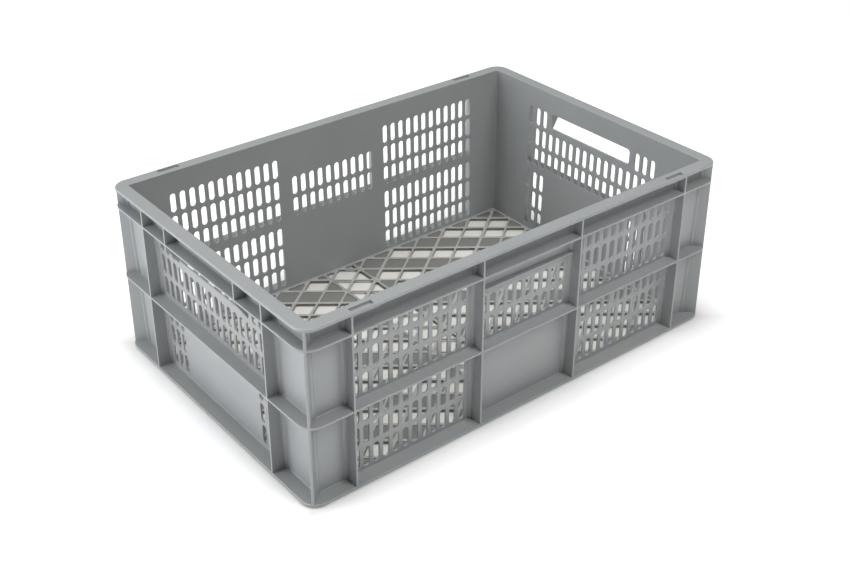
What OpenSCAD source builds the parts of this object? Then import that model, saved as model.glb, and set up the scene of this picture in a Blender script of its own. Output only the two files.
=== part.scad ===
// Ventilated stacking crate on the 600 x 400 module, open at the top.
// Origin on the ground under the middle of the crate, +X along the long side, +Z up.

/* [Overall size] */
// Length over the rim, along X
crate_l = 600; // [596:1:606]
// Width over the rim, along Y
crate_w = 400; // [398:1:406]
// Height from the ground to the top of the rim
crate_h = 220; // [219:0.5:222]
// Radius of the outer corners of the rim, ledges and flange
corner_r = 18; // [12:1:24]

/* [Rim] */
// Width of the flat rim, measured inwards
rim_w = 16; // [15:0.5:17]
// Thickness of the rim plate
rim_t = 3.5; // [3:0.1:4.2]
// Length of a lid clip pocket
pocket_l = 27.5; // [20:0.5:30]
// Width of a lid clip pocket
pocket_w = 7; // [5:0.5:8]
// Depth of a lid clip pocket below the rim top
pocket_depth = 3.4; // [2:0.1:3.6]
// How far the bottom of each pocket hangs below the rim
lip_drop = 1.2; // [0.8:0.1:2]

/* [Walls] */
// Wall thickness
wall_t = 2.4; // [2.2:0.1:3.2]
// Inward lean of the walls per millimetre of height
wall_draft = 0.02; // [0.01:0.005:0.025]

/* [Ledges] */
// Height of the middle of the upper ledge
upper_ledge_z = 194.7; // [194.5:0.1:196]
// Height of the middle of the middle ledge
middle_ledge_z = 101.7; // [101:0.1:102.5]
// Thickness of the ledges and of the bottom flange
ledge_t = 2.5; // [2:0.1:3]
// Gap between the ground and the bottom flange
flange_z = 2.5; // [2:0.1:3]
// How far the short panel ledges stand out from the long walls
panel_ledge_d = 5; // [3:0.5:8]
// Height of the short panel ledges
panel_ledge_z = 172; // [170:0.5:174]

/* [Ribs] */
// Thickness of the upright ribs
rib_t = 2.5; // [2:0.1:3]
// Width of the flat face of the root pad on each side of a rib
pad_face = 2.2; // [1:0.1:3]
// Width of the root pad on each side of a rib, where it meets the wall
pad_w = 4; // [3.2:0.1:5]
// How far a root pad stands out from the wall
pad_d = 2.2; // [1.5:0.1:3]
// Distance of the outer ribs of the long walls from the middle
outer_rib_x = 241.7; // [240.5:0.1:243]
// Distance of the inner ribs of the long walls from the middle
inner_rib_x = 71.7; // [71.2:0.1:72.5]
// Distance of the tall ribs of the end walls from the middle
end_rib_y = 125; // [123:0.5:128]
// Thickness of the diagonal fin on each corner
corner_fin_t = 3.2; // [2:0.1:4]

/* [Vent slots] */
// Width of a vent slot
slot_w = 7.6; // [6:0.1:8.5]
// Height of a vent slot
slot_h = 25; // [22:0.5:26]
// Distance between two columns of slots
slot_pitch_x = 13.05; // [12.8:0.05:13.15]
// Distance between two rows of slots
slot_pitch_z = 29.9; // [29:0.1:30.2]
// Distance of the side bays of the long walls from the middle
side_bay_x = 158; // [157:0.5:159]
// Height of the middle row above the middle ledge
upper_rows_z = 148.7; // [148:0.1:149.2]
// Height of the middle row below the middle ledge
lower_rows_z = 52; // [51.5:0.1:52.8]

/* [Hand-holes] */
// Length of a hand-hole
grip_l = 142.5; // [120:0.5:142.5]
// Height of the lower edge of a hand-hole
grip_z = 171; // [170:0.5:174]
// Height at which the gussets beside a hand-hole run out
gusset_z = 167; // [160:0.5:180]

/* [Base] */
// Thickness of the base
base_t = 4.2; // [3.6:0.1:5]
// Thickness of the web that closes some of the cells
web_t = 3.2; // [2:0.1:3.4]
// Thickness of the lattice between the two cross beams
middle_lattice_t = 1.8; // [1.2:0.1:3]
// Number of lattice cells along X
cells_x = 12; // [10:2:14]
// Number of lattice cells along Y
cells_y = 10; // [8:2:12]
// Width of a thin lattice rib
lattice_w = 2.6; // [1.8:0.1:3]
// Width of a strong lattice rib
strong_w = 4; // [3:0.1:5]
// Width of the strip along the walls
border_w = 2.6; // [2:0.1:4]
// Width of the two cross beams
beam_w = 3.2; // [2.5:0.1:4]

/* [Hidden] */
$fn = 48;

// The sides are numbered anticlockwise, each a quarter turn from the front
front = 0;
right = 1;
rear = 2;
left = 3;

rim_bottom = crate_h - rim_t;
upper_ledge_top = upper_ledge_z + ledge_t / 2;
upper_ledge_bottom = upper_ledge_z - ledge_t / 2;
middle_ledge_top = middle_ledge_z + ledge_t / 2;
middle_ledge_bottom = middle_ledge_z - ledge_t / 2;
flange_top = flange_z + ledge_t;
panel_ledge_t = 2;
// Heights between which the tall ribs and the corner fins run
tall_spans = [[flange_top, middle_ledge_bottom],
    [middle_ledge_top, upper_ledge_bottom],
    [upper_ledge_top, rim_bottom]];
// The ribs and gussets of a hand-hole stand just outside its ends
grip_rib_y = (grip_l + rib_t) / 2;
// Depth that holds every part of one side
side_depth = 60;
// Depths between which a slot cutter runs, clear of the wall on both sides
cut_from = 5;
cut_to = 30;
// Distance by which other cutters run past the faces they open
clear = 1;

// The lid clip pockets end at the outer ribs; their bottoms are a little larger
pocket_x = outer_rib_x - rib_t / 2 - pocket_l / 2;
pocket_from = 2.5;
pocket_side_t = 1.2;
lip_extra = 5;

// Heights of the rows of slots, three above and three below the middle ledge; the short bays
// have only the lower two of the upper rows
row_count = 3;
upper_rows = [for (z = evenly(row_count, slot_pitch_z)) upper_rows_z + z];
lower_rows = [for (z = evenly(row_count, slot_pitch_z)) lower_rows_z + z];
all_rows = concat(lower_rows, upper_rows);
short_rows = [upper_rows[0], upper_rows[1]];
// Columns of slots in the bays of a long wall
side_bay = evenly(12, slot_pitch_x);
middle_bay = evenly(10, slot_pitch_x);
// Columns of slots of an end wall: short ones between full ones
end_short_columns = 12;
end_full_columns = 6;
end_columns = evenly(end_short_columns + end_full_columns, slot_pitch_x);
end_outer_bay = [for (y = end_columns) if (abs(y) > end_short_columns / 2 * slot_pitch_x) y];
end_inner_bay = evenly(end_short_columns, slot_pitch_x);

// Half sizes of the floor inside the walls, at the top of the base
floor_x = crate_l / 2 - wall_depth(base_t) - wall_t;
floor_y = crate_w / 2 - wall_depth(base_t) - wall_t;
border_depth = wall_depth(base_t) + wall_t + border_w;
cell_l = 2 * floor_x / cells_x;
cell_w = 2 * floor_y / cells_y;
beam_x = cell_l / 2;
// Where the lattice ends at the border, and the two faces of a beam
lattice_x = floor_x - border_w;
lattice_y = floor_y - border_w;
beam_outside = beam_x + beam_w / 2;
beam_inside = beam_x - beam_w / 2;
// Distance between two neighbouring parallel ribs of the lattice
lattice_pitch = cell_l * cell_w / sqrt(cell_l * cell_l + cell_w * cell_w);
lattice_numbers = [-(cells_x + cells_y) / 2:(cells_x + cells_y) / 2 - 1];
// Rows of cells that the web closes; each has a twin half a turn round
closed_rows = [2, 5, 7];
// Rising ribs that are strong, counted both ways from the middle; the falling ribs outside
// the beams are strong too
strong_ribs = [1, 3, 6];

// Depth of the outer wall face behind the outer plane of the crate
function wall_depth(z) = rim_w - wall_t + wall_draft * (crate_h - z);
function side_length(side) = side % 2 == 0 ? crate_l : crate_w;
function side_distance(side) = side % 2 == 0 ? crate_w / 2 : crate_l / 2;
function evenly(count, pitch) = [for (i = [0:count - 1]) (i - (count - 1) / 2) * pitch];
function has(list, value) = len([for (item = list) if (item == value) item]) > 0;

// Section of a shelf from the outer plane to the wall
function shelf_section(low, high) =
    [[0, low], [wall_depth(low), low], [wall_depth(high), high], [0, high]];

// Section of a layer along the wall, between two distances behind its outer face
function layer_section(low, high, near, far) =
    [[wall_depth(low) + near, low], [wall_depth(low) + far, low],
    [wall_depth(high) + far, high], [wall_depth(high) + near, high]];

// Children are drawn with X along the side and Y inwards from the outer plane
module on_side(side) {
    rotate([0, 0, 90 * side])
        translate([0, -side_distance(side), 0])
            children();
}

// Bar along X with its section given as points of depth and height
module bar(length, section) {
    rotate([90, 0, 90])
        linear_extrude(height = length, center = true)
            polygon(section);
}

// Space that belongs to one side, between the 45 degree planes of its corners
module mitre(side) {
    half = side_length(side) / 2;
    linear_extrude(height = crate_h)
        polygon([[-half, 0], [half, 0],
            [half - side_depth, side_depth], [side_depth - half, side_depth]]);
}

// Outline of the rim and ledges, as tall as the crate
module rounded_block() {
    linear_extrude(height = crate_h)
        union() {
            square([crate_l - 2 * corner_r, crate_w], center = true);
            square([crate_l, crate_w - 2 * corner_r], center = true);
            for (x = [-1, 1], y = [-1, 1])
                translate([x * (crate_l / 2 - corner_r), y * (crate_w / 2 - corner_r)])
                    circle(r = corner_r);
        }
}

// Block between leaning faces, at a distance inside the outer wall faces
module leaning_block(inside) {
    low = wall_depth(0) + inside;
    high = wall_depth(crate_h) + inside;
    intersection() {
        bar(crate_l, [[low - crate_w / 2, 0], [crate_w / 2 - low, 0],
            [crate_w / 2 - high, crate_h], [high - crate_w / 2, crate_h]]);
        rotate([0, 0, 90])
            bar(crate_w, [[low - crate_l / 2, 0], [crate_l / 2 - low, 0],
                [crate_l / 2 - high, crate_h], [high - crate_l / 2, crate_h]]);
    }
}

// ---- Rim ----

// One side of the rim: a flat plate on top of the wall
module rim_plate(side) {
    intersection() {
        on_side(side)
            bar(side_length(side),
                [[0, rim_bottom], [wall_depth(rim_bottom) + wall_t, rim_bottom],
                [wall_depth(crate_h) + wall_t, crate_h], [0, crate_h]]);
        on_side(side)
            mitre(side);
        rounded_block();
    }
}

// Section of the bottom of a lid clip pocket, which hangs below the rim plate
function pocket_bottom_section() =
    let (inside = pocket_from + pocket_w + pocket_side_t, low = rim_bottom - lip_drop)
        [[0, low], [inside, low], [inside, rim_bottom], [0, rim_bottom]];

// Long side of the rim, with a blind pocket for a lid clip near each end
module rim_long(side) {
    color("silver")
        difference() {
            union() {
                rim_plate(side);
                on_side(side)
                    for (end = [-1, 1])
                        translate([end * (pocket_x - lip_extra / 2), 0, 0])
                            bar(pocket_l + lip_extra, pocket_bottom_section());
            }
            on_side(side)
                for (end = [-1, 1])
                    translate([end * pocket_x - pocket_l / 2, pocket_from,
                        crate_h - pocket_depth])
                        cube([pocket_l, pocket_w, pocket_depth + clear]);
        }
}

// Short side of the rim
module rim_short(side) {
    color("silver")
        rim_plate(side);
}

// ---- Walls ----

// Leaning wall of one side between two heights, mitred at its ends
module wall_slab(side, low, high) {
    intersection() {
        on_side(side)
            bar(side_length(side), layer_section(low, high, 0, wall_t));
        on_side(side)
            mitre(side);
    }
}

// Cutter for one vent slot with round ends
module slot(x, z) {
    translate([x, cut_to, z])
        rotate([90, 0, 0])
            linear_extrude(height = cut_to - cut_from)
                union() {
                    square([slot_w, slot_h - slot_w], center = true);
                    for (end = [-1, 1])
                        translate([0, end * (slot_h - slot_w) / 2])
                            circle(d = slot_w);
                }
}

module slots(columns, rows) {
    for (x = columns, z = rows)
        slot(x, z);
}

// Long wall: six rows of slots in the side bays, two in the middle bay
module wall_long(side) {
    color("darkgray")
        difference() {
            wall_slab(side, 0, rim_bottom);
            on_side(side) {
                for (end = [-1, 1])
                    slots([for (x = side_bay) end * side_bay_x + x], all_rows);
                slots(middle_bay, short_rows);
            }
        }
}

// Slots of an end wall: six rows beside the corners, two rows between them
module end_slots() {
    slots(end_outer_bay, all_rows);
    slots(end_inner_bay, short_rows);
}

// End wall below its hand-hole
module wall_short(side) {
    color("darkgray")
        difference() {
            wall_slab(side, 0, grip_z);
            on_side(side)
                end_slots();
        }
}

// End wall on both sides of its hand-hole
module wall_shoulders(side) {
    color("darkgray")
        difference() {
            wall_slab(side, grip_z, rim_bottom);
            on_side(side) {
                translate([-grip_l / 2, 0, grip_z - clear])
                    cube([grip_l, cut_to, crate_h]);
                end_slots();
            }
        }
}

// Part of an end wall above its hand-hole, behind the upper ledge
module grip_bar(side) {
    color("darkgray")
        on_side(side)
            bar(grip_l, layer_section(upper_ledge_bottom, rim_bottom, 0, wall_t));
}

// ---- Ledges ----

// Shelf from the outer plane to the wall on one side
module shelf(side, low) {
    color("gray")
        intersection() {
            on_side(side)
                bar(side_length(side), shelf_section(low, low + ledge_t));
            on_side(side)
                mitre(side);
            rounded_block();
        }
}

// Short ledge over the solid strip in the middle bay of a long wall
module panel_ledge(side) {
    color("gray")
        on_side(side)
            bar(2 * inner_rib_x - rib_t - 2 * pad_w,
                layer_section(panel_ledge_z - panel_ledge_t / 2,
                    panel_ledge_z + panel_ledge_t / 2, -panel_ledge_d, 0));
}

// ---- Ribs ----

// Root pads on both sides of a rib, which lean with the wall
module root_pads(low, high) {
    face = rib_t / 2 + pad_face;
    foot = rib_t / 2 + pad_w;
    intersection() {
        translate([0, wall_depth(0), 0])
            rotate([atan(wall_draft), 0, 0])
                linear_extrude(height = 2 * crate_h, center = true)
                    polygon([[-foot, 0], [-face, -pad_d], [face, -pad_d], [foot, 0]]);
        translate([-foot, 0, low])
            cube([2 * foot, side_depth, high - low]);
    }
}

// Rib from the flange to the rim, with a thicker root against the wall
module tall_rib(side, x) {
    color("darkgray")
        on_side(side)
            translate([x, 0, 0])
                for (span = tall_spans)
                    union() {
                        bar(rib_t, shelf_section(span[0], span[1]));
                        root_pads(span[0], span[1]);
                    }
}

// Short ribs above the ends of a hand-hole, from the upper ledge to the rim
module grip_ribs(side) {
    color("darkgray")
        on_side(side)
            for (end = [-1, 1])
                translate([end * grip_rib_y, 0, 0])
                    bar(rib_t, shelf_section(upper_ledge_top, rim_bottom));
}

// Triangular gussets under the upper ledge, beside a hand-hole
module grip_gussets(side) {
    color("darkgray")
        on_side(side)
            for (end = [-1, 1])
                translate([end * grip_rib_y, 0, 0])
                    bar(rib_t, [[0, upper_ledge_bottom], [wall_depth(gusset_z), gusset_z],
                        [wall_depth(upper_ledge_bottom), upper_ledge_bottom]]);
}

// Upright slab across a corner, between the heights of one span
module diagonal_slab(x, y, thickness, low, high) {
    reach = 2 * rim_w;
    translate([x * crate_l / 2, y * crate_w / 2, (low + high) / 2])
        rotate([0, 0, 45 * x * y])
            translate([-x * reach, 0, 0])
                cube([2 * reach, thickness, high - low], center = true);
}

// Diagonal fin from a corner of the walls to the rounded corner of the ledges, with root pads
module corner_fin(x, y) {
    pads_t = corner_fin_t + sqrt(2) * pad_face;
    color("darkgray")
        for (span = tall_spans)
            difference() {
                union() {
                    intersection() {
                        diagonal_slab(x, y, corner_fin_t, span[0], span[1]);
                        rounded_block();
                    }
                    intersection() {
                        diagonal_slab(x, y, pads_t, span[0], span[1]);
                        leaning_block(-pad_d);
                    }
                }
                leaning_block(0);
            }
}

// ---- Base ----

// Point of the lattice: the first number counts falling ribs, the second rising ones
function lattice_point(falling, rising) =
    [(falling + rising) * cell_l / 2, (falling - rising) * cell_w / 2];

function rising_half(rising) =
    (has(strong_ribs, abs(rising)) ? strong_w : lattice_w) / 2 / lattice_pitch;

// Opening of one cell, between its four ribs
module cell(falling, rising, falling_w) {
    falling_half = falling_w / 2 / lattice_pitch;
    low = rising + rising_half(rising);
    high = rising + 1 - rising_half(rising + 1);
    polygon([lattice_point(falling + falling_half, low),
        lattice_point(falling + 1 - falling_half, low),
        lattice_point(falling + 1 - falling_half, high),
        lattice_point(falling + falling_half, high)]);
}

function in_floor(falling, rising) =
    let (middle = lattice_point(falling + 1 / 2, rising + 1 / 2))
        abs(middle[0]) < floor_x + cell_l / 4 && abs(middle[1]) < floor_y + cell_w / 4;

// Whether a cell is cut by neither a beam nor the border
function is_whole(falling, rising) =
    let (across = abs(falling + rising + 1))
        across >= 2 && across < cells_x && abs(falling - rising) < cells_y;

function is_open(falling, rising) =
    is_whole(falling, rising) && !has(closed_rows, falling >= 0 ? falling : -1 - falling);

// Layer of the base between the walls
module base_layer(low, high) {
    intersection() {
        leaning_block(wall_t);
        translate([-crate_l / 2, -crate_w / 2, low])
            cube([crate_l, crate_w, high - low]);
    }
}

// Web under the lattice: open between the beams and in some rows of whole cells
module base_web() {
    color("dimgray")
        difference() {
            base_layer(0, web_t);
            translate([0, 0, -clear])
                linear_extrude(height = web_t + 2 * clear)
                    union() {
                        square([2 * beam_inside, 2 * lattice_y], center = true);
                        intersection() {
                            square([2 * lattice_x, 2 * lattice_y], center = true);
                            union()
                                for (falling = lattice_numbers, rising = lattice_numbers)
                                    if (is_open(falling, rising))
                                        cell(falling, rising, strong_w);
                        }
                    }
        }
}

// Strip of the base that runs along the wall of one side
module base_border(side) {
    color("dimgray")
        intersection() {
            base_layer(web_t, base_t);
            on_side(side)
                mitre(side);
            on_side(side)
                translate([-side_length(side) / 2, 0, 0])
                    cube([side_length(side), border_depth, base_t]);
        }
}

// Two beams across the base
module base_beams() {
    color("dimgray")
        for (end = [-1, 1])
            translate([end * beam_x - beam_w / 2, -lattice_y, web_t])
                cube([beam_w, 2 * lattice_y, base_t - web_t]);
}

// Lattice of the base between two distances along X
module base_lattice(from, to, thickness, falling_w) {
    color("dimgray")
        translate([0, 0, base_t - thickness])
            linear_extrude(height = thickness)
                difference() {
                    translate([from, -lattice_y])
                        square([to - from, 2 * lattice_y]);
                    for (falling = lattice_numbers, rising = lattice_numbers)
                        if (in_floor(falling, rising))
                            cell(falling, rising, falling_w);
                }
}

// Lattice between a beam and the border
module outer_lattice(from, to) {
    base_lattice(from, to, base_t - web_t, strong_w);
}

// Lattice between the two beams
module middle_lattice() {
    base_lattice(-beam_inside, beam_inside, middle_lattice_t, lattice_w);
}

rim_long(front);  // rim_front
rim_short(right);  // rim_right
rim_long(rear);  // rim_rear
rim_short(left);  // rim_left
wall_long(front);  // wall_front
wall_short(right);  // wall_right
wall_long(rear);  // wall_rear
wall_short(left);  // wall_left
wall_shoulders(right);  // wall_shoulders_right
wall_shoulders(left);  // wall_shoulders_left
grip_bar(right);  // grip_bar_right
grip_bar(left);  // grip_bar_left
shelf(front, upper_ledge_bottom);  // upper_ledge_front
shelf(right, upper_ledge_bottom);  // upper_ledge_right
shelf(rear, upper_ledge_bottom);  // upper_ledge_rear
shelf(left, upper_ledge_bottom);  // upper_ledge_left
shelf(front, middle_ledge_bottom);  // middle_ledge_front
shelf(right, middle_ledge_bottom);  // middle_ledge_right
shelf(rear, middle_ledge_bottom);  // middle_ledge_rear
shelf(left, middle_ledge_bottom);  // middle_ledge_left
shelf(front, flange_z);  // flange_front
shelf(right, flange_z);  // flange_right
shelf(rear, flange_z);  // flange_rear
shelf(left, flange_z);  // flange_left
panel_ledge(front);  // panel_ledge_front
panel_ledge(rear);  // panel_ledge_rear
tall_rib(front, -outer_rib_x);  // front_rib_1
tall_rib(front, -inner_rib_x);  // front_rib_2
tall_rib(front, inner_rib_x);  // front_rib_3
tall_rib(front, outer_rib_x);  // front_rib_4
tall_rib(rear, -outer_rib_x);  // rear_rib_1
tall_rib(rear, -inner_rib_x);  // rear_rib_2
tall_rib(rear, inner_rib_x);  // rear_rib_3
tall_rib(rear, outer_rib_x);  // rear_rib_4
tall_rib(right, -end_rib_y);  // right_rib_1
tall_rib(right, end_rib_y);  // right_rib_2
tall_rib(left, -end_rib_y);  // left_rib_1
tall_rib(left, end_rib_y);  // left_rib_2
grip_ribs(right);  // grip_ribs_right
grip_ribs(left);  // grip_ribs_left
grip_gussets(right);  // grip_gussets_right
grip_gussets(left);  // grip_gussets_left
corner_fin(1, -1);  // corner_fin_front_right
corner_fin(1, 1);  // corner_fin_rear_right
corner_fin(-1, 1);  // corner_fin_rear_left
corner_fin(-1, -1);  // corner_fin_front_left
base_border(front);  // base_border_front
base_border(right);  // base_border_right
base_border(rear);  // base_border_rear
base_border(left);  // base_border_left
base_web();
base_beams();
outer_lattice(-lattice_x, -beam_outside);  // base_lattice_left
middle_lattice();  // base_lattice_middle
outer_lattice(beam_outside, lattice_x);  // base_lattice_right
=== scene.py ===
"""Looks of a ventilated stacking crate: moulded surfaces, plastic, studio and camera.

All sizes are in millimetres until a point is placed, and the sides are numbered anticlockwise
from the front, each a quarter turn from the one before.
"""

import math

import bmesh
import bpy
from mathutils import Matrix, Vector
from mathutils.geometry import delaunay_2d_cdt


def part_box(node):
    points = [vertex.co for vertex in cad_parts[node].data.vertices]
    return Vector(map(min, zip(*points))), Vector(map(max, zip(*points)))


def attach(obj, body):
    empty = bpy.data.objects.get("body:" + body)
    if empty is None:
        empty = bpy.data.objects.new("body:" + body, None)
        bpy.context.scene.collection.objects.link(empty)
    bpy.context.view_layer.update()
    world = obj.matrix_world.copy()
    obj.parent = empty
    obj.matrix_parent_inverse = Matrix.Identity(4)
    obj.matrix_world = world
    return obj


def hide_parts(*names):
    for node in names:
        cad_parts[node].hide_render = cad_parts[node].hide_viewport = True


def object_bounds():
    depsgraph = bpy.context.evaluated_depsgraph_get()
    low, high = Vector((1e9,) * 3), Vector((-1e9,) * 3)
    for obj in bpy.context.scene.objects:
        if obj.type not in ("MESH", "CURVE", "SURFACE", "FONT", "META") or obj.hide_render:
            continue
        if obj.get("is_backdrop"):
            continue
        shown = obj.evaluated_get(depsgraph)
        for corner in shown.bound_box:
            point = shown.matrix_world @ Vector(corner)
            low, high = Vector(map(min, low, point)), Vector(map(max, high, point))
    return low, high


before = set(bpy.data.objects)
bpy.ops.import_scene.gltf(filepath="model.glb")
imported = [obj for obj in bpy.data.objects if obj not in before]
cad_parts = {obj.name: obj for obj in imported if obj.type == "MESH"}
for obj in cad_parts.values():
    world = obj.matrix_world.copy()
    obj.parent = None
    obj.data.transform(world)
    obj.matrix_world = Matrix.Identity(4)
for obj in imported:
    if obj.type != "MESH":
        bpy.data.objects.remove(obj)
cad_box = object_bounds()

MM = 0.001
FRONT, RIGHT, REAR, LEFT = range(4)
SIDE_NAMES = ("front", "right", "rear", "left")


def span(node, axis):
    """Lowest and highest place of a CAD node along an axis, in millimetres."""
    low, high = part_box(node)
    return low[axis] / MM, high[axis] / MM


# Overall sizes, heights of the shelves and places of the ribs, as the frame has them
LENGTH = (cad_box[1].x - cad_box[0].x) / MM
WIDTH = (cad_box[1].y - cad_box[0].y) / MM
HEIGHT = cad_box[1].z / MM
RIM_LOW = span("rim_right", 2)[0]
UPPER_LOW, UPPER_TOP = span("upper_ledge_front", 2)
MIDDLE_LOW, MIDDLE_TOP = span("middle_ledge_front", 2)
FLANGE_LOW, FLANGE_TOP = span("flange_front", 2)
GRIP_LOW = span("wall_right", 2)[1]
GRIP_HALF = span("grip_bar_right", 1)[1]
GUSSET_LOW = span("grip_gussets_right", 2)[0]
PANEL_LEDGE = span("panel_ledge_front", 2)
BASE_TOP = span("base_border_front", 2)[1]
WEB_TOP = span("base_web", 2)[1]
BEAM_OUTSIDE = span("base_beams", 0)[1]
BEAM_INSIDE = span("base_lattice_middle", 0)[1]
LATTICE_X = span("base_lattice_right", 0)[1]
LATTICE_Y = span("base_lattice_right", 1)[1]
MIDDLE_LOW_FACE = span("base_lattice_middle", 2)[0]

# Walls and corners
RIM_W = 16
WALL_T = 2.4
WALL_DRAFT = 0.02
CORNER_R = 18
CORNER_SHRINK = 1.25
INNER_CORNER_R = 2
GRIP_R = 4
GRIP_GAP = 0.4

# Vent slots
SLOT_W = 7.6
SLOT_H = 25
PITCH_X = 13.05
PITCH_Z = 29.9
SIDE_BAY_X = 158
UPPER_ROWS_Z = 148.7
LOWER_ROWS_Z = 52
ROW_COUNT = 3
SHORT_ROW_COUNT = 2
SIDE_BAY_COLUMNS = 12
MIDDLE_BAY_COLUMNS = 10
END_COLUMNS = 18
END_SHORT_COLUMNS = 12

# Clip pockets in the rim
POCKET_L = 27.5
POCKET_W = 7
POCKET_FROM = 2.5
POCKET_DEPTH = 3.4
POCKET_SIDE_T = 1.2
POCKET_R = 0.8
LIP_EXTRA = 5

# Ribs
RIB_T = 2.5
FIN_T = 3.2
PAD_W = 4
PAD_FACE = 2.2
PAD_D = 2.2
PANEL_LEDGE_D = 5
GUSSET_FRONT_H = 1.5

# Base
CELLS_X = 12
CELLS_Y = 10
LATTICE_W = 2.6
STRONG_W = 4
STRONG_RIBS = (1, 3, 6)
CLOSED_ROWS = (2, 5, 7)
BORDER_W = 2.6
CELL_R = 2
CELL_R_SHARE = 0.45
LEAST_CELL_AREA = 25
LEAST_CELL_EDGE = 1

# Edge roundings
RIM_EDGE_R = 1.5
RIM_INNER_R = 0.6
SHELF_EDGE_R = 0.5
ROOT_R = 1.5
UNDER_ROOT_R = 1.0
FLOOR_ROOT_R = 2
BORDER_LOW_R = 0.3
SLOT_LIP = 0.7
CELL_LIP = 0.4
WEB_LIP = 0.3
POCKET_LIP = 0.4
POCKET_ROOT_R = 0.5
LIP_EDGE_R = 0.4
RIB_EDGE_R = 0.55
RIB_ROOT_R = 1
FIN_EDGE_R = 0.9
PAD_INNER_R = 0.8
PAD_EDGE_R = 0.5
PAD_FOOT_R = 1.2
LEDGE_ROOT_R = 0.8
FLARE = 0.8

# Distances that keep faces of different pieces apart, and that sink a piece into its neighbour
SHELF_INSET = 0.06
RIB_INSET = 0.03
SINK = 0.35
FOOT_SINK_X = 1.6
LEDGE_SINK_Z = 1.2
BASE_SINK = 1.2
WEB_RECESS = 0.1

# Half size of the studio floor, and how far it lies below the crate, in metres
FLOOR_REACH = 12
FLOOR_GAP = 0.0004

# Steps of the rounded parts
ARC_STEPS = 14
FILLET_STEPS = 4
LIP_STEPS = 2
SLOT_STEPS = 8
CELL_STEPS = 3


# ---- Places and outlines ----

def side_length(side):
    return LENGTH if side % 2 == 0 else WIDTH


def on_side(side, x, depth, z):
    """Point with x along a side and depth inwards from its outer plane."""
    cosine, sine = ((1, 0), (0, 1), (-1, 0), (0, -1))[side]
    y = depth - side_length(side + 1) / 2
    return Vector((cosine * x - sine * y, sine * x + cosine * y, z)) * MM


def wall_depth(z):
    """Depth of the outer wall face, which leans inwards towards the ground."""
    return RIM_W - WALL_T + WALL_DRAFT * (HEIGHT - z)


def evenly(count, pitch):
    return [(k - (count - 1) / 2) * pitch for k in range(count)]


def quarter_turn(steps):
    return [math.pi / 2 * k / steps for k in range(steps + 1)]


def rounded(corners, steps=FILLET_STEPS):
    """Closed outline through corners (x, y, radius). Also gives the last point of each corner."""
    points = []
    ends = []
    for k, (x, y, radius) in enumerate(corners):
        corner = Vector((x, y))
        before = (Vector(corners[k - 1][:2]) - corner).normalized()
        after = (Vector(corners[(k + 1) % len(corners)][:2]) - corner).normalized()
        if radius > 0:
            half_angle = math.acos(max(-1, min(1, before.dot(after)))) / 2
            centre = corner + (before + after).normalized() * radius / math.sin(half_angle)
            start = corner + before * radius / math.tan(half_angle) - centre
            end = corner + after * radius / math.tan(half_angle) - centre
            turn = start.angle_signed(end)
            for step in range(steps + 1):
                angle = -turn * step / steps
                cosine, sine = math.cos(angle), math.sin(angle)
                points.append((centre.x + cosine * start.x - sine * start.y,
                               centre.y + sine * start.x + cosine * start.y))
        else:
            points.append((x, y))
        ends.append(len(points) - 1)
    return points, ends


def obround(x, z, width, height):
    """Outline of a slot with round ends, as a function of how far it is grown."""
    def outline(grow):
        radius = width / 2 + grow
        reach = (height - width) / 2
        return [(x + radius * math.cos(angle), z + end * reach + radius * math.sin(angle))
                for end, start in ((1, 0), (-1, math.pi))
                for angle in (start + math.pi * k / SLOT_STEPS for k in range(SLOT_STEPS + 1))]
    return outline


def rounded_rectangle(x_low, x_high, y_low, y_high, radius):
    """Outline of a rectangle with round corners, as a function of how far it is grown."""
    def outline(grow):
        return rounded([(x_low - grow, y_low - grow, radius + grow),
                        (x_high + grow, y_low - grow, radius + grow),
                        (x_high + grow, y_high + grow, radius + grow),
                        (x_low - grow, y_high + grow, radius + grow)])[0]
    return outline


def area(corners):
    """Area inside a closed outline, positive if it runs anticlockwise."""
    return sum(a.x * b.y - b.x * a.y for a, b in zip(corners, corners[1:] + corners[:1])) / 2


# ---- Mesh building ----

def bridge(bm, one, other):
    """Band of faces between two closed rings of vertices."""
    for k in range(len(one)):
        n = (k + 1) % len(one)
        bm.faces.new((one[k], one[n], other[n], other[k]))


def tunnel(bm, outline, rows, place):
    """Tube whose rows say how far the outline grows and how deep it lies. Gives its two mouths."""
    mouths = []
    for grow, depth in rows:
        mouths.append([(bm.verts.new(place(x, y, depth)), (x, y)) for x, y in outline(grow)])
    for one, other in zip(mouths, mouths[1:]):
        bridge(bm, [vert for vert, _ in one], [vert for vert, _ in other])
    return mouths[0], mouths[-1]


def lip_rows(lip):
    """Rows that round the mouth of a hole."""
    return [(lip * (1 - math.sin(a)), lip * (1 - math.cos(a))) for a in quarter_turn(LIP_STEPS)]


def through_rows(thickness, lip):
    near = lip_rows(lip)
    return near + [(grow, thickness - depth) for grow, depth in reversed(near)]


def recess_rows(depth, lip, root):
    """Rows of a blind pocket with a rounded mouth and a rounded floor edge."""
    return lip_rows(lip) + [(root * (math.cos(a) - 1), depth - root * (1 - math.sin(a)))
                            for a in quarter_turn(LIP_STEPS)]


def fill(bm, border, holes):
    """Flat triangles between a border and its holes, each a list of vertices and flat points."""
    if area([Vector(point) for _, point in border]) < 0:
        border = border[::-1]
    loops = [border, *holes]
    verts = [vert for loop in loops for vert, _ in loop]
    flat = [Vector(point) for loop in loops for _, point in loop]
    faces = []
    start = 0
    for loop in loops:
        faces.append(list(range(start, start + len(loop))))
        start += len(loop)
    _, _, triangles, sources, _, inside = delaunay_2d_cdt(flat, [], faces, 1, 1e-7)
    for triangle, found in zip(triangles, inside):
        if list(found) == [0]:
            bm.faces.new([verts[sources[k][0]] for k in triangle])


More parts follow.
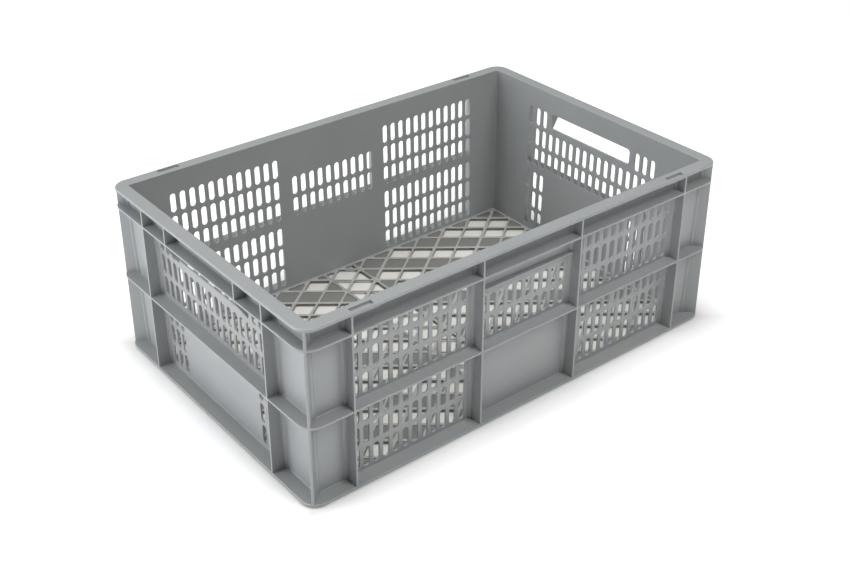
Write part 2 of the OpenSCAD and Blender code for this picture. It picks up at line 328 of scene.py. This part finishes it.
def finish_piece(bm, name, *nodes, material=None):
    """Makes a smooth moulded piece of the mesh, which stands for CAD nodes."""
    bmesh.ops.recalc_face_normals(bm, faces=bm.faces)
    mesh = bpy.data.meshes.new(name)
    bm.to_mesh(mesh)
    bm.free()
    mesh.shade_smooth()
    piece = bpy.data.objects.new(name, mesh)
    bpy.context.scene.collection.objects.link(piece)
    mesh.materials.append(material or plastic)
    weighted = piece.modifiers.new("weighted_normals", "WEIGHTED_NORMAL")
    weighted.keep_sharp = True
    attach(piece, "root")
    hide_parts(*nodes)


# ---- Shell: rim, walls, ledges and flange in one skin ----

def shell_profile():
    """Section of the shell as depth, height and rounding, and the names of its flat runs."""
    floor_depth = wall_depth(BASE_TOP) + WALL_T
    corners = [("rim_top", 0, HEIGHT, RIM_EDGE_R),
               ("inner", RIM_W, HEIGHT, RIM_INNER_R),
               ("", floor_depth, BASE_TOP, FLOOR_ROOT_R),
               ("", floor_depth + BORDER_W, BASE_TOP, CELL_LIP),
               ("", floor_depth + BORDER_W, 0, BORDER_LOW_R),
               ("", wall_depth(0), 0, SHELF_EDGE_R),
               ("", wall_depth(FLANGE_LOW), FLANGE_LOW, SHELF_EDGE_R)]
    for low, high, run in ((FLANGE_LOW, FLANGE_TOP, "low"), (MIDDLE_LOW, MIDDLE_TOP, "high"),
                           (UPPER_LOW, UPPER_TOP, "top")):
        if low != FLANGE_LOW:
            corners.append(("", wall_depth(low), low, UNDER_ROOT_R))
        corners.append(("", SHELF_INSET, low, SHELF_EDGE_R))
        corners.append(("", SHELF_INSET, high, SHELF_EDGE_R))
        corners.append((run, wall_depth(high), high, ROOT_R))
    corners.append(("", wall_depth(RIM_LOW), RIM_LOW, UNDER_ROOT_R))
    corners.append(("", 0, RIM_LOW, SHELF_EDGE_R))
    points, ends = rounded([corner[1:] for corner in corners])
    return points, {end: corner[0] for corner, end in zip(corners, ends) if corner[0]}


def shell_ring(depth):
    """Points of a level ring round the crate: side, x along it and depth."""
    radius = max(CORNER_R - CORNER_SHRINK * depth, INNER_CORNER_R)
    ring = []
    for side in range(4):
        x = side_length(side) / 2 - depth - radius
        ring += [(side, x + radius * math.sin(a), depth + radius * (1 - math.cos(a)))
                 for a in quarter_turn(ARC_STEPS)]
    return ring


def slots(columns, rows):
    return [(z, obround(x, z, SLOT_W, SLOT_H)) for x in columns for z in rows]


def wall_openings(side):
    """Openings in the wall of a side, each with a height that tells its bay."""
    upper = [UPPER_ROWS_Z + z for z in evenly(ROW_COUNT, PITCH_Z)]
    lower = [LOWER_ROWS_Z + z for z in evenly(ROW_COUNT, PITCH_Z)]
    short = upper[:SHORT_ROW_COUNT]
    if side in (FRONT, REAR):
        bay = evenly(SIDE_BAY_COLUMNS, PITCH_X)
        columns = [end * SIDE_BAY_X + x for end in (-1, 1) for x in bay]
        return slots(columns, lower + upper) + slots(evenly(MIDDLE_BAY_COLUMNS, PITCH_X), short)
    short_reach = END_SHORT_COLUMNS / 2 * PITCH_X
    columns = [x for x in evenly(END_COLUMNS, PITCH_X) if abs(x) > short_reach]
    grip_top = UPPER_LOW - UNDER_ROOT_R - SLOT_LIP - GRIP_GAP
    grip = rounded_rectangle(-GRIP_HALF, GRIP_HALF, GRIP_LOW, grip_top, GRIP_R)
    return (slots(columns, lower + upper) + slots(evenly(END_SHORT_COLUMNS, PITCH_X), short)
            + [(grip_top, grip)])


def shell_skin(bm):
    """Skin of the shell without the flat runs that are pierced. Gives the borders of those."""
    profile, runs = shell_profile()
    rings = []
    for depth, z in profile:
        rings.append([(bm.verts.new(on_side(side, x, inward, z)), x, inward, z)
                      for side, x, inward in shell_ring(depth)])
    count = len(rings[0])
    borders = {}
    for k, ring in enumerate(rings):
        following = rings[(k + 1) % len(rings)]
        for m in range(count):
            n = (m + 1) % count
            side = n // (ARC_STEPS + 1)
            straight = m % (ARC_STEPS + 1) == ARC_STEPS
            if straight and k in runs:
                # The ring's points at the start of a side are told along the side before it
                _, x, inward, z = ring[n]
                _, next_x, next_inward, next_z = following[n]
                borders[runs[k], side] = [(ring[m][0], -x, inward, z),
                                          (ring[n][0], x, inward, z),
                                          (following[n][0], next_x, next_inward, next_z),
                                          (following[m][0], -next_x, next_inward, next_z)]
            else:
                bm.faces.new((ring[m][0], ring[n][0], following[n][0], following[m][0]))
    return borders


def pierce_side(bm, side, borders):
    """Slots, hand-hole and clip pockets of a side, and the flat faces between them."""
    def through_wall(x, z, depth):
        return on_side(side, x, wall_depth(z) + depth, z)

    def below_rim(x, inward, depth):
        return on_side(side, x, inward, HEIGHT - depth)

    holes = {"inner": [], "low": [], "high": [], "top": [], "rim_top": []}
    for z, outline in wall_openings(side):
        outer, inner = tunnel(bm, outline, through_rows(WALL_T, SLOT_LIP), through_wall)
        holes["low" if z < MIDDLE_LOW else "high"].append(outer)
        holes["inner"].append(inner)
    for x in pocket_places(side):
        outline = rounded_rectangle(x - POCKET_L / 2, x + POCKET_L / 2, POCKET_FROM,
                                    POCKET_FROM + POCKET_W, POCKET_R)
        rows = recess_rows(POCKET_DEPTH, POCKET_LIP, POCKET_ROOT_R)
        mouth, floor = tunnel(bm, outline, rows, below_rim)
        holes["rim_top"].append(mouth)
        bm.faces.new([vert for vert, _ in floor])
    for run, found in holes.items():
        # The rim is flat along its depth, the walls along their height
        border = [(vert, (x, inward if run == "rim_top" else z))
                  for vert, x, inward, z in borders[run, side]]
        fill(bm, border, found)


def make_shell():
    bm = bmesh.new()
    borders = shell_skin(bm)
    for side in range(4):
        pierce_side(bm, side, borders)
    kinds = ["rim", "wall", "upper_ledge", "middle_ledge", "flange", "base_border"]
    nodes = [f"{kind}_{side}" for kind in kinds for side in SIDE_NAMES]
    nodes += [f"{kind}_{side}" for kind in ("wall_shoulders", "grip_bar")
              for side in ("right", "left")]
    finish_piece(bm, "crate_shell", *nodes)


# ---- Ribs, fins, gussets and lips ----

def prism(bm, rings):
    """Closed body through rings of points, with flat ends."""
    rings = [[bm.verts.new(point) for point in ring] for ring in rings]
    for one, other in zip(rings, rings[1:]):
        bridge(bm, one, other)
    bm.faces.new(rings[0])
    bm.faces.new(rings[-1])


def flared_rows(spans):
    """Heights of a rib and how far it flares there, into each shelf that it passes."""
    curve = [(FLARE * (1 - math.sin(a)), FLARE * (1 - math.cos(a)))
             for a in quarter_turn(FILLET_STEPS)]
    rows = []
    for low, high in spans:
        rows.append((low - SINK, FLARE))
        rows += [(low + rise, flare) for rise, flare in reversed(curve)]
        rows += [(high - rise, flare) for rise, flare in curve]
        rows.append((high + SINK, FLARE))
    return rows


def root_corners(half, depth, pad):
    """Corners of one half of a rib's section from its outer edge into the wall."""
    if not pad:
        return [(half, RIB_INSET, RIB_EDGE_R), (half, depth, RIB_ROOT_R),
                (half + FOOT_SINK_X, depth + SINK, 0)]
    face = half + PAD_FACE
    foot = half + PAD_W
    return [(half, RIB_INSET, RIB_EDGE_R), (half, depth - PAD_D, PAD_INNER_R),
            (face, depth - PAD_D, PAD_EDGE_R), (foot, depth, PAD_FOOT_R),
            (foot + FOOT_SINK_X, depth + SINK, 0)]


def rib_section(z, flare, pad):
    half = root_corners(RIB_T / 2 + flare, wall_depth(z), pad)
    return rounded([(-x, depth, radius) for x, depth, radius in reversed(half)] + half)[0]


TALL_SPANS = ((FLANGE_TOP, MIDDLE_LOW), (MIDDLE_TOP, UPPER_LOW), (UPPER_TOP, RIM_LOW))


def make_rib(name, side, places, spans=TALL_SPANS, pad=True):
    bm = bmesh.new()
    for place in places:
        prism(bm, [[on_side(side, place + x, depth, z) for x, depth in rib_section(z, flare, pad)]
                   for z, flare in flared_rows(spans)])
    finish_piece(bm, f"{name}_moulded", name)


def fin_section(z, flare):
    """Section of a corner fin as distances from the two outer planes that meet there."""
    depth = wall_depth(z)
    half = FIN_T / 2 + flare
    tip = CORNER_R * (math.sqrt(2) - 1) + RIB_INSET
    pad = depth - PAD_D
    flank = pad + half * math.sqrt(2)
    foot = flank + PAD_FACE + PAD_D
    one = [((tip + half) / math.sqrt(2), (tip - half) / math.sqrt(2), FIN_EDGE_R),
           (flank, pad, PAD_INNER_R), (flank + PAD_FACE, pad, PAD_EDGE_R),
           (foot, depth, PAD_FOOT_R), (foot + FOOT_SINK_X, depth + SINK, 0)]
    other = [(b, a, radius) for a, b, radius in reversed(one)]
    return rounded(one + [(depth + SINK, depth + SINK, 0)] + other)[0]


def make_fin(name, side):
    """Fin of the corner at the far end of a side."""
    bm = bmesh.new()
    half = side_length(side) / 2
    prism(bm, [[on_side(side, half - a, b, z) for a, b in fin_section(z, flare)]
               for z, flare in flared_rows(TALL_SPANS)])
    finish_piece(bm, f"{name}_moulded", name)


def slab_rows(thickness, edge):
    """Places across a slab and how far its outline shrinks there."""
    curve = [(edge * (1 - math.cos(a)), edge * (math.sin(a) - 1))
             for a in quarter_turn(FILLET_STEPS)]
    return ([(place - thickness / 2, grow) for place, grow in curve]
            + [(thickness / 2 - place, grow) for place, grow in reversed(curve)])


def make_gussets(name, side):
    """Triangular gussets under the upper ledge, with rounded free edges."""
    bm = bmesh.new()
    for end in (-1, 1):
        rings = []
        for x, grow in slab_rows(RIB_T, RIB_EDGE_R):
            top = UPPER_LOW + SINK
            section = [(RIB_INSET - grow, top), (RIB_INSET - grow, UPPER_LOW - GUSSET_FRONT_H),
                       (wall_depth(GUSSET_LOW) + SINK, GUSSET_LOW - grow),
                       (wall_depth(top) + SINK, top)]
            rings.append([on_side(side, end * (GRIP_HALF + RIB_T / 2) + x, depth, z)
                          for depth, z in section])
        prism(bm, rings)
    finish_piece(bm, f"{name}_moulded", name)


def make_panel_ledge(name, side, rib_place):
    """Short ledge between the inner ribs of a long wall."""
    bm = bmesh.new()
    low, high = PANEL_LEDGE
    reach = rib_place - RIB_T / 2 - PAD_FACE / 2
    section = rounded([(wall_depth(low) - PANEL_LEDGE_D, low, SHELF_EDGE_R),
                       (wall_depth(high) - PANEL_LEDGE_D, high, SHELF_EDGE_R),
                       (wall_depth(high), high, LEDGE_ROOT_R),
                       (wall_depth(high) + SINK, high + LEDGE_SINK_Z, 0),
                       (wall_depth(low) + SINK, low - LEDGE_SINK_Z, 0),
                       (wall_depth(low), low, LEDGE_ROOT_R)])[0]
    prism(bm, [[on_side(side, x, depth, z) for depth, z in section] for x in (-reach, reach)])
    finish_piece(bm, f"{name}_moulded", name)


def pocket_places(side):
    """Middles of the clip pockets of a side, which end at its outer ribs."""
    if side not in (FRONT, REAR):
        return []
    low, high = span("front_rib_4", 0)
    reach = (low + high) / 2 - RIB_T / 2 - POCKET_L / 2
    return [-reach, reach]


def make_pocket_lips(side):
    """Bottoms of the clip pockets, which hang below the rim."""
    bm = bmesh.new()
    inside = POCKET_FROM + POCKET_W + POCKET_SIDE_T
    low = span("rim_front", 2)[0]
    for place in pocket_places(side):
        middle = place - math.copysign(LIP_EXTRA / 2, place)
        rings = []
        for x, grow in slab_rows(POCKET_L + LIP_EXTRA, SHELF_EDGE_R):
            section = rounded([(RIB_INSET, RIM_LOW, 0), (RIB_INSET, low - grow, LIP_EDGE_R),
                               (inside + grow, low - grow, LIP_EDGE_R),
                               (inside + grow, RIM_LOW, 0)])[0]
            rings.append([on_side(side, middle + x, depth, z) for depth, z in section])
        prism(bm, rings)
    name = SIDE_NAMES[side]
    finish_piece(bm, f"pocket_lips_{name}", f"rim_{name}")


def rib_places(node, side):
    """Middle of a rib node along its side."""
    axis = side % 2
    low, high = span(node, axis)
    return (low + high) / 2 * (1 if side in (FRONT, RIGHT) else -1)


def make_ribs():
    for side in range(4):
        name = SIDE_NAMES[side]
        for number in range(1, 5 if side in (FRONT, REAR) else 3):
            node = f"{name}_rib_{number}"
            make_rib(node, side, [rib_places(node, side)])
        if side in (RIGHT, LEFT):
            grip = GRIP_HALF + RIB_T / 2
            make_rib(f"grip_ribs_{name}", side, [-grip, grip], TALL_SPANS[2:], pad=False)
            make_gussets(f"grip_gussets_{name}", side)
        else:
            make_panel_ledge(f"panel_ledge_{name}", side,
                             abs(rib_places(f"{name}_rib_3", side)))
            make_pocket_lips(side)
    for side, corner in enumerate(("front_right", "rear_right", "rear_left", "front_left")):
        make_fin(f"corner_fin_{corner}", side)


# ---- Base ----

FLOOR_X = LENGTH / 2 - wall_depth(BASE_TOP) - WALL_T
FLOOR_Y = WIDTH / 2 - wall_depth(BASE_TOP) - WALL_T
CELL_L = 2 * FLOOR_X / CELLS_X
CELL_W = 2 * FLOOR_Y / CELLS_Y
LATTICE_PITCH = CELL_L * CELL_W / math.hypot(CELL_L, CELL_W)


def lattice_point(falling, rising):
    """Point of the lattice, counted across its falling and its rising ribs."""
    return Vector(((falling + rising) * CELL_L / 2, (falling - rising) * CELL_W / 2))


def cell_corners(falling, rising, falling_w):
    """Corners of one cell between its four ribs."""
    half = falling_w / 2 / LATTICE_PITCH
    thin = LATTICE_W / 2 / LATTICE_PITCH
    strong = STRONG_W / 2 / LATTICE_PITCH
    low = rising + (strong if abs(rising) in STRONG_RIBS else thin)
    high = rising + 1 - (strong if abs(rising + 1) in STRONG_RIBS else thin)
    return [lattice_point(falling + half, low), lattice_point(falling + half, high),
            lattice_point(falling + 1 - half, high), lattice_point(falling + 1 - half, low)]


def is_open(falling, rising):
    """Whether the web leaves a cell open, which it does in some rows of whole cells."""
    across = abs(falling + rising + 1)
    row = falling if falling >= 0 else -1 - falling
    return 2 <= across < CELLS_X and abs(falling - rising) < CELLS_Y and row not in CLOSED_ROWS


def clipped(corners, axis, limit, sign):
    """Part of a convex outline where sign times its axis is at most sign times the limit."""
    kept = []
    for k, point in enumerate(corners):
        before = corners[k - 1]
        inside = sign * point[axis] <= sign * limit
        if inside != (sign * before[axis] <= sign * limit):
            kept.append(before.lerp(point, (limit - before[axis]) / (point[axis] - before[axis])))
        if inside:
            kept.append(point)
    return kept


def clipped_to(corners, low, high):
    for axis in (0, 1):
        corners = clipped(corners, axis, high[axis], 1) if corners else corners
        corners = clipped(corners, axis, low[axis], -1) if corners else corners
    return corners


def cell_outline(corners):
    """Outline of a cell with rounded corners, as a function of how far it is grown."""
    def outline(grow):
        count = len(corners)
        edges = [(corners[(k + 1) % count] - corners[k]).normalized() for k in range(count)]
        grown = []
        for k in range(count):
            one, other = edges[k - 1], edges[k]
            spread = one.x * other.y - one.y * other.x
            # Each edge moves outwards by the growth, and the corner stays where they cross
            grown.append(corners[k] + (one - other) * grow / spread)
        rows = []
        for k, corner in enumerate(grown):
            before = grown[k - 1] - corner
            after = grown[(k + 1) % count] - corner
            edge_share = CELL_R_SHARE * min(before.length, after.length)
            room = edge_share * math.tan(before.angle(after) / 2)
            rows.append((corner.x, corner.y, min(CELL_R + max(grow, 0), room)))
        return rounded(rows, CELL_STEPS)[0]
    return outline


def lattice_cells(x_low, x_high, falling_w, chosen=lambda falling, rising: True):
    """Outlines of the chosen cells of the base between two distances along it."""
    numbers = range(-(CELLS_X + CELLS_Y) // 2, (CELLS_X + CELLS_Y) // 2)
    for falling in numbers:
        for rising in numbers:
            corners = clipped_to(cell_corners(falling, rising, falling_w),
                                 (x_low, -LATTICE_Y), (x_high, LATTICE_Y))
            if chosen(falling, rising) and corners and is_wide(corners):
                yield cell_outline(merged(corners))


def is_wide(corners):
    """Whether an opening is more than a sliver."""
    corners = merged(corners)
    return len(corners) > 2 and abs(area(corners)) > LEAST_CELL_AREA


def merged(corners):
    """Corners without the ones that lie on their neighbour."""
    return [corner for k, corner in enumerate(corners)
            if (corner - corners[k - 1]).length > LEAST_CELL_EDGE]


def plate(bm, x_span, half_y, z_span, outlines, rows):
    """Flat plate with openings, whose rows give the growth and depth of their sides."""
    low, high = z_span
    ends = []
    for z in (high, low):
        ends.append([(bm.verts.new(Vector((x, y, z)) * MM), (x, y))
                     for x, y in ((x_span[0], -half_y), (x_span[1], -half_y),
                                  (x_span[1], half_y), (x_span[0], half_y))])
    bridge(bm, [vert for vert, _ in ends[0]], [vert for vert, _ in ends[1]])
    mouths = [tunnel(bm, outline, rows, lambda x, y, depth: Vector((x, y, high - depth)) * MM)
              for outline in outlines]
    fill(bm, ends[0], [top for top, _ in mouths])
    fill(bm, ends[1], [bottom for _, bottom in mouths])


def make_base():
    half_y = LATTICE_Y + BASE_SINK
    top = BASE_TOP - RIB_INSET
    bm = bmesh.new()
    for x_low, x_high in ((-LATTICE_X, -BEAM_OUTSIDE), (BEAM_OUTSIDE, LATTICE_X)):
        ends = sorted((math.copysign(LATTICE_X + BASE_SINK, x_high),
                       math.copysign(BEAM_INSIDE, x_high)))
        plate(bm, ends, half_y, (WEB_TOP / 2, top), lattice_cells(x_low, x_high, STRONG_W),
              lip_rows(CELL_LIP) + [(0, top - WEB_TOP / 2)])
    finish_piece(bm, "base_lattice", "base_lattice_left", "base_lattice_right", "base_beams",
                 material=lattice_plastic_painted_shade)

    bm = bmesh.new()
    top -= RIB_INSET
    rows = lip_rows(CELL_LIP) + [(grow, top - MIDDLE_LOW_FACE - depth)
                                 for grow, depth in reversed(lip_rows(CELL_LIP))]
    plate(bm, (-BEAM_INSIDE - BASE_SINK, BEAM_INSIDE + BASE_SINK), half_y,
          (MIDDLE_LOW_FACE, top), lattice_cells(-BEAM_INSIDE, BEAM_INSIDE, LATTICE_W), rows)
    finish_piece(bm, "base_lattice_middle_moulded", "base_lattice_middle", material=lattice_plastic_painted_shade)

    bm = bmesh.new()
    thickness = WEB_TOP - RIB_INSET
    rows = [(WEB_RECESS, 0)] + [(WEB_RECESS + grow, thickness - depth)
                                for grow, depth in reversed(lip_rows(WEB_LIP))]
    for x_low, x_high in ((-LATTICE_X, -BEAM_OUTSIDE), (BEAM_OUTSIDE, LATTICE_X)):
        ends = sorted((math.copysign(LATTICE_X + BASE_SINK, x_high),
                       math.copysign(BEAM_INSIDE + WEB_RECESS, x_high)))
        plate(bm, ends, half_y, (RIB_INSET, WEB_TOP),
              lattice_cells(x_low, x_high, STRONG_W, is_open), rows)
    finish_piece(bm, "base_web_moulded", "base_web", material=shaded)


# ---- Plastic ----

def add_node(tree, kind, **inputs):
    """Node of a kind with values for its inputs, whose names have an underscore for a space."""
    node = tree.nodes.new(kind)
    for name, value in inputs.items():
        node.inputs[name.replace("_", " ")].default_value = value
    return node


def add_noise(tree, scale, detail, roughness):
    noise = add_node(tree, "ShaderNodeTexNoise", Scale=scale, Detail=detail, Roughness=roughness)
    place = tree.nodes.new("ShaderNodeTexCoord").outputs["Object"]
    tree.links.new(place, noise.inputs["Vector"])
    return noise


def add_mix(tree, blend, factor, one, other):
    """Blend of two colours. The factor and the colours are each a value or a node's output."""
    mix = tree.nodes.new("ShaderNodeMix")
    mix.data_type = "RGBA"
    mix.blend_type = blend
    for name, given in (("Factor", factor), ("A", one), ("B", other)):
        if isinstance(given, bpy.types.NodeSocket):
            tree.links.new(given, mix.inputs[name])
        else:
            mix.inputs[name].default_value = given
    return mix.outputs["Result"]


def add_ramp(tree, value, start, end, low, high):
    """Value that runs from low to high while the given one goes from start to end."""
    ramp = add_node(tree, "ShaderNodeMapRange", From_Min=start, From_Max=end, To_Min=low,
                    To_Max=high)
    tree.links.new(value, ramp.inputs["Value"])
    return ramp.outputs["Result"]


def shade_below(tree, height, share):
    """Darkening of the deep faces: the given share of the tone below a height, all of it above."""
    split = tree.nodes.new("ShaderNodeSeparateXYZ")
    place = tree.nodes.new("ShaderNodeTexCoord").outputs["Object"]
    tree.links.new(place, split.inputs["Vector"])
    return add_ramp(tree, split.outputs["Z"], (height - 2 * CELL_LIP) * MM,
                    (height - CELL_LIP / 2) * MM, share, 1)


def make_plastic(name, low_tone, high_tone, shade_height=None):
    """Satin moulded plastic: faint flow clouds between two tones, a fine grain, uneven gloss.

    With a shade height, the faces below it are darkened as painted shade, and only the faces near
    that height have the full tone.
    """
    material = bpy.data.materials.new(name)
    material.use_nodes = True
    tree = material.node_tree
    shader = tree.nodes["Principled BSDF"]
    shader.inputs["IOR"].default_value = 1.49

    flow = add_noise(tree, 14.0, 3.0, 0.55)
    speckle = add_noise(tree, 900.0, 2.0, 0.6)
    grain = add_noise(tree, 1500.0, 3.0, 0.6)
    ripple = add_noise(tree, 110.0, 2.0, 0.5)

    tone = add_mix(tree, "MIX", flow.outputs["Fac"], (*low_tone, 1), (*high_tone, 1))
    colour = add_mix(tree, "MULTIPLY", 0.10, tone, speckle.outputs["Color"])
    # Painted shade: faces below the height are darkened to a share of the tone
    if shade_height is not None:
        shade = shade_below(tree, shade_height, 0.42)
        colour = add_mix(tree, "MULTIPLY", 1.0, colour, shade)
    tree.links.new(colour, shader.inputs["Base Color"])

    gloss = add_ramp(tree, ripple.outputs["Fac"], 0, 1, 0.28, 0.38)
    tree.links.new(gloss, shader.inputs["Roughness"])

    waves = add_node(tree, "ShaderNodeBump", Strength=0.08, Distance=0.0006)
    tree.links.new(ripple.outputs["Fac"], waves.inputs["Height"])
    dots = add_node(tree, "ShaderNodeBump", Strength=0.12, Distance=0.00012)
    tree.links.new(grain.outputs["Fac"], dots.inputs["Height"])
    tree.links.new(waves.outputs["Normal"], dots.inputs["Normal"])
    tree.links.new(dots.outputs["Normal"], shader.inputs["Normal"])
    return material


# ---- Studio ----

def add_math(tree, operation, one, other=0):
    """Result of an operation on a node's output and a second output or a number."""
    node = tree.nodes.new("ShaderNodeMath")
    node.operation = operation
    tree.links.new(one, node.inputs[0])
    if isinstance(other, bpy.types.NodeSocket):
        tree.links.new(other, node.inputs[1])
    else:
        node.inputs[1].default_value = other
    return node.outputs[0]


def outside_distance(tree):
    """Distance of a point of the floor from the ground under the crate."""
    place = tree.nodes.new("ShaderNodeSeparateXYZ")
    tree.links.new(tree.nodes.new("ShaderNodeTexCoord").outputs["Object"],
                   place.inputs["Vector"])
    beyond = [add_math(tree, "SUBTRACT", add_math(tree, "ABSOLUTE", place.outputs[axis]),
                       (half - RIM_W) * MM)
              for axis, half in (("X", LENGTH / 2), ("Y", WIDTH / 2))]
    return add_math(tree, "MAXIMUM", *beyond)


def make_pale_floor_material():
    """Pale ground with a faint mottle, painted darker under the crate as painted shade, and with a
    little painted glow around it that lifts the shadow there.
    """
    material = bpy.data.materials.new("pale_floor")
    material.use_nodes = True
    tree = material.node_tree
    shader = tree.nodes["Principled BSDF"]
    shader.inputs["Roughness"].default_value = 0.85
    shader.inputs["Emission Color"].default_value = (1, 1, 1, 1)
    distance = outside_distance(tree)
    # Painted light: the glow is faint under the crate, rises just outside it to lift its shadow,
    # and rises again on the far floor
    glow = add_math(tree, "ADD", add_ramp(tree, distance, 0, 0.05, 0.02, 0.34),
                    add_ramp(tree, distance, 0.8, 4.0, 0, 0.60))
    tree.links.new(glow, shader.inputs["Emission Strength"])
    mottle = add_noise(tree, 3.0, 2.0, 0.5)
    tone = add_mix(tree, "MIX", mottle.outputs["Fac"], (0.83, 0.83, 0.83, 1),
                   (0.86, 0.86, 0.86, 1))
    # Painted shade: a darker, warmer floor colour under the crate
    ground = add_mix(tree, "MIX", add_ramp(tree, distance, 0, 0.03, 0, 1),
                     (0.64, 0.63, 0.59, 1), tone)
    tree.links.new(ground, shader.inputs["Base Color"])
    return material


def make_floor():
    bm = bmesh.new()
    bmesh.ops.create_grid(bm, x_segments=12, y_segments=12, size=FLOOR_REACH)
    mesh = bpy.data.meshes.new("floor")
    bm.to_mesh(mesh)
    bm.free()
    mesh.materials.append(make_pale_floor_material())
    floor = bpy.data.objects.new("floor", mesh)
    floor.location.z = -FLOOR_GAP
    bpy.context.scene.collection.objects.link(floor)
    floor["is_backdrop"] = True


def make_softbox(name, place, size, power, tint=(1, 1, 1)):
    """Square area light that faces the middle of the crate."""
    light = bpy.data.lights.new(name, "AREA")
    light.size = size
    light.energy = power
    light.color = tint
    lamp = bpy.data.objects.new(name, light)
    lamp.location = place
    lamp.rotation_euler = (Vector((0, 0, 0.1)) - Vector(place)).to_track_quat("-Z", "Y").to_euler()
    bpy.context.scene.collection.objects.link(lamp)


def make_studio():
    make_floor()
    make_softbox("key_softbox", (0.4, -1.8, 2.5), 1.2, 44)
    make_softbox("top_softbox", (-0.3, 0.3, 2.4), 2.0, 48)
    make_softbox("left_softbox", (-2.4, 0.9, 0.8), 1.6, 46, (0.95, 0.96, 1.0))
    world = bpy.data.worlds.new("studio")
    world.use_nodes = True
    world.node_tree.nodes["Background"].inputs["Color"].default_value = (1, 1, 1, 1)
    world.node_tree.nodes["Background"].inputs["Strength"].default_value = 0.07
    bpy.context.scene.world = world
    bpy.context.scene.view_settings.view_transform = "Standard"


def make_camera():
    camera = bpy.data.objects.new("camera", bpy.data.cameras.new("camera"))
    bpy.context.scene.collection.objects.link(camera)
    place = Vector((-0.8373, -1.0605, 0.8906))
    aim = Vector((0.0516, 0.0552, 0.110))
    camera.location = place
    camera.rotation_euler = (aim - place).to_track_quat("-Z", "Y").to_euler()
    camera.data.lens = 54.21
    camera.data.sensor_width = 36
    camera.data.shift_y = -0.0706
    camera.data.clip_start = 0.05
    camera.data.clip_end = 60
    bpy.context.scene.camera = camera


plastic = make_plastic("grey_plastic", (0.300, 0.314, 0.318), (0.350, 0.362, 0.362))
# Lighter tone for the lattice, with painted shade on its faces below the top of the base
lattice_plastic_painted_shade = make_plastic("pale_grey_plastic_painted_shade", (0.38, 0.38, 0.365), (0.44, 0.44, 0.42), BASE_TOP)
shaded = make_plastic("shaded_grey_plastic", (0.185, 0.185, 0.175), (0.225, 0.225, 0.210))
make_shell()
make_ribs()
make_base()
make_studio()
make_camera()

visual_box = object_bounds()
[[list(corner) for corner in box] for box in (cad_box, visual_box)]
